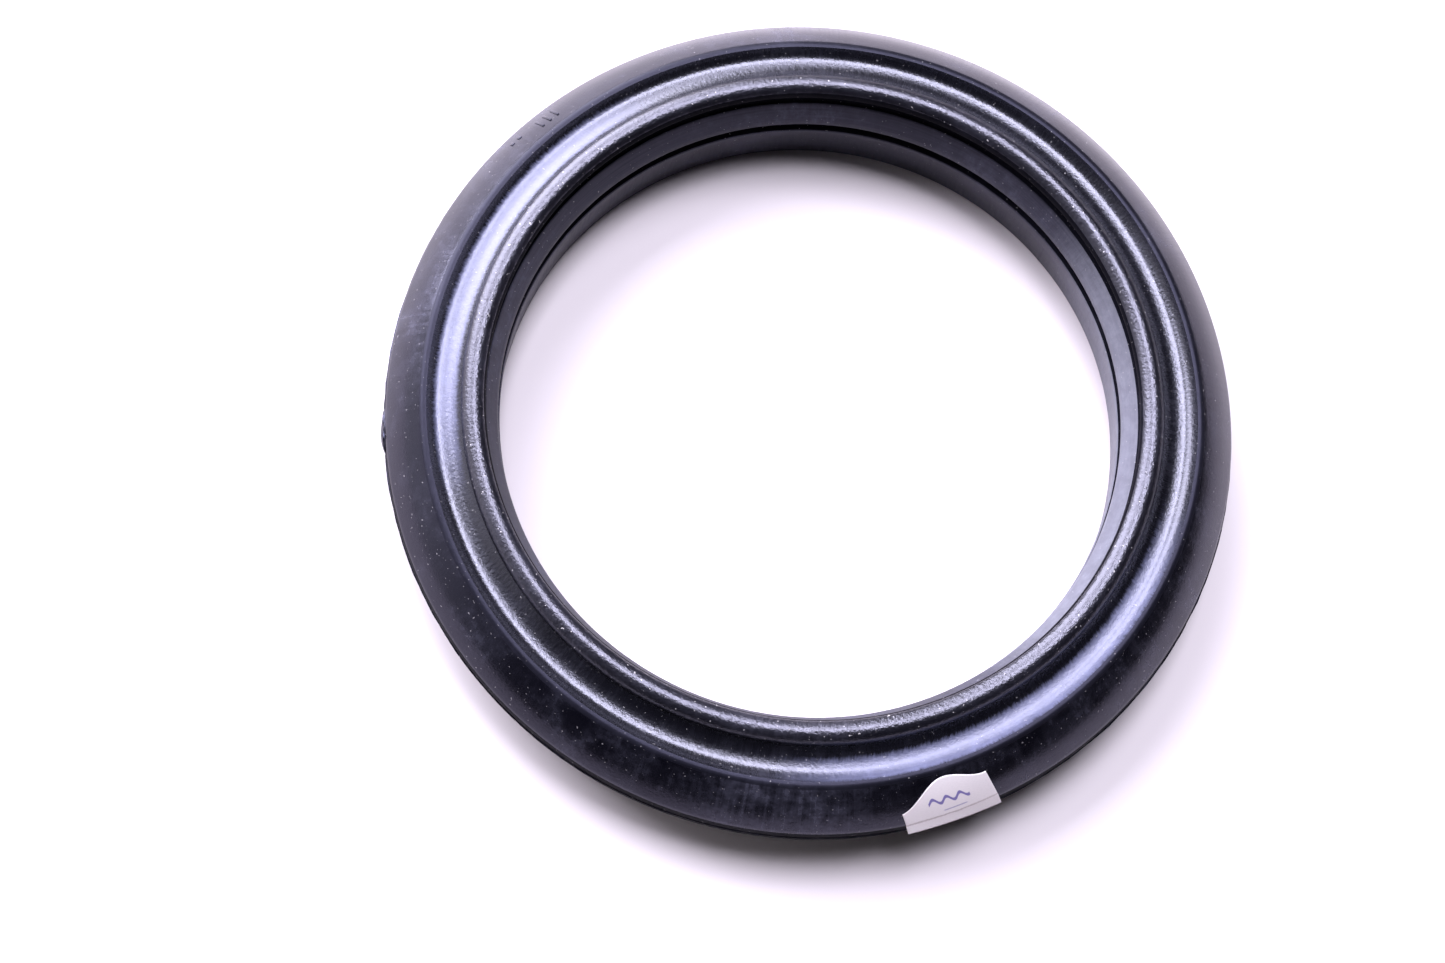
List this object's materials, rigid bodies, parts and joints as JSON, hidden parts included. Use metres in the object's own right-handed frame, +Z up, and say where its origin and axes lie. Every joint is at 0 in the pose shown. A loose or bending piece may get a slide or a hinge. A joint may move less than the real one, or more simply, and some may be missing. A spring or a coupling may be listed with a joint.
{
  "type": "rubber expansion joint",
  "caption": "Round moulded rubber expansion joint: a conical flange and a lipped pipe collar, joined by a shallow flexible arch.",
  "frame": {"origin": "on the ring's axis, at the level of the collar's foot, which is the part's lowest face", "axes": "+Z up along the ring's axis, from the collar's foot towards the bead; +X and +Y are arbitrary directions across the ring"},
  "size_m": [0.1472, 0.1472, 0.0232],
  "materials": {
    "cover_rubber": "satin moulded rubber, dusty, with fine grain",
    "inner_rubber": "matte moulded rubber",
    "lip_rubber": "smooth grey-black sealing rubber",
    "cord_fabric": "rubberised nylon cord fabric",
    "ring_steel": "rolled steel strip, phosphated",
    "hoop_wire": "drawn steel wire",
    "bead_bronze_wire": "bronze-plated bead wire",
    "label_stock": "matte off-white label paper with a pen stroke",
    "label_glue": "thin clear-amber adhesive film"
  },
  "bodies": {
    "flange": {"flange_cover": "cover_rubber", "flange_base": "inner_rubber", "flange_upper_ply": "cord_fabric", "flange_lower_ply": "cord_fabric", "flange_stiffener": "ring_steel", "rim_wire": "hoop_wire", "crest_wire": "hoop_wire", "label_paper": "label_stock", "label_adhesive": "label_glue"},
    "arch": {"arch_cover": "cover_rubber", "arch_outer_ply": "cord_fabric", "arch_inner_ply": "cord_fabric", "arch_liner": "inner_rubber"},
    "collar": {"bead_cover": "cover_rubber", "bead_wrap": "cord_fabric", "bead_core": "bead_bronze_wire", "upper_lip": "lip_rubber", "lower_lip": "lip_rubber", "collar_ply": "cord_fabric", "collar_band": "ring_steel", "collar_cover": "inner_rubber"}
  },
  "joints": [
    {"name": "axial_travel", "type": "slide", "parent": "flange", "child": "arch", "axis": [0, 0, 1], "range_m": [-0.003, 0.003], "stiffness_N_per_m": 12000, "deforming": ["arch_cover", "arch_outer_ply", "arch_inner_ply", "arch_liner"]},
    {"name": "collar_tilt", "type": "hinge", "parent": "arch", "child": "collar", "pos_m": [0, 0, 0.0195], "axis": [1, 0, 0], "range_deg": [-2.5, 2.5], "stiffness_Nm_per_rad": 24}
  ]
}
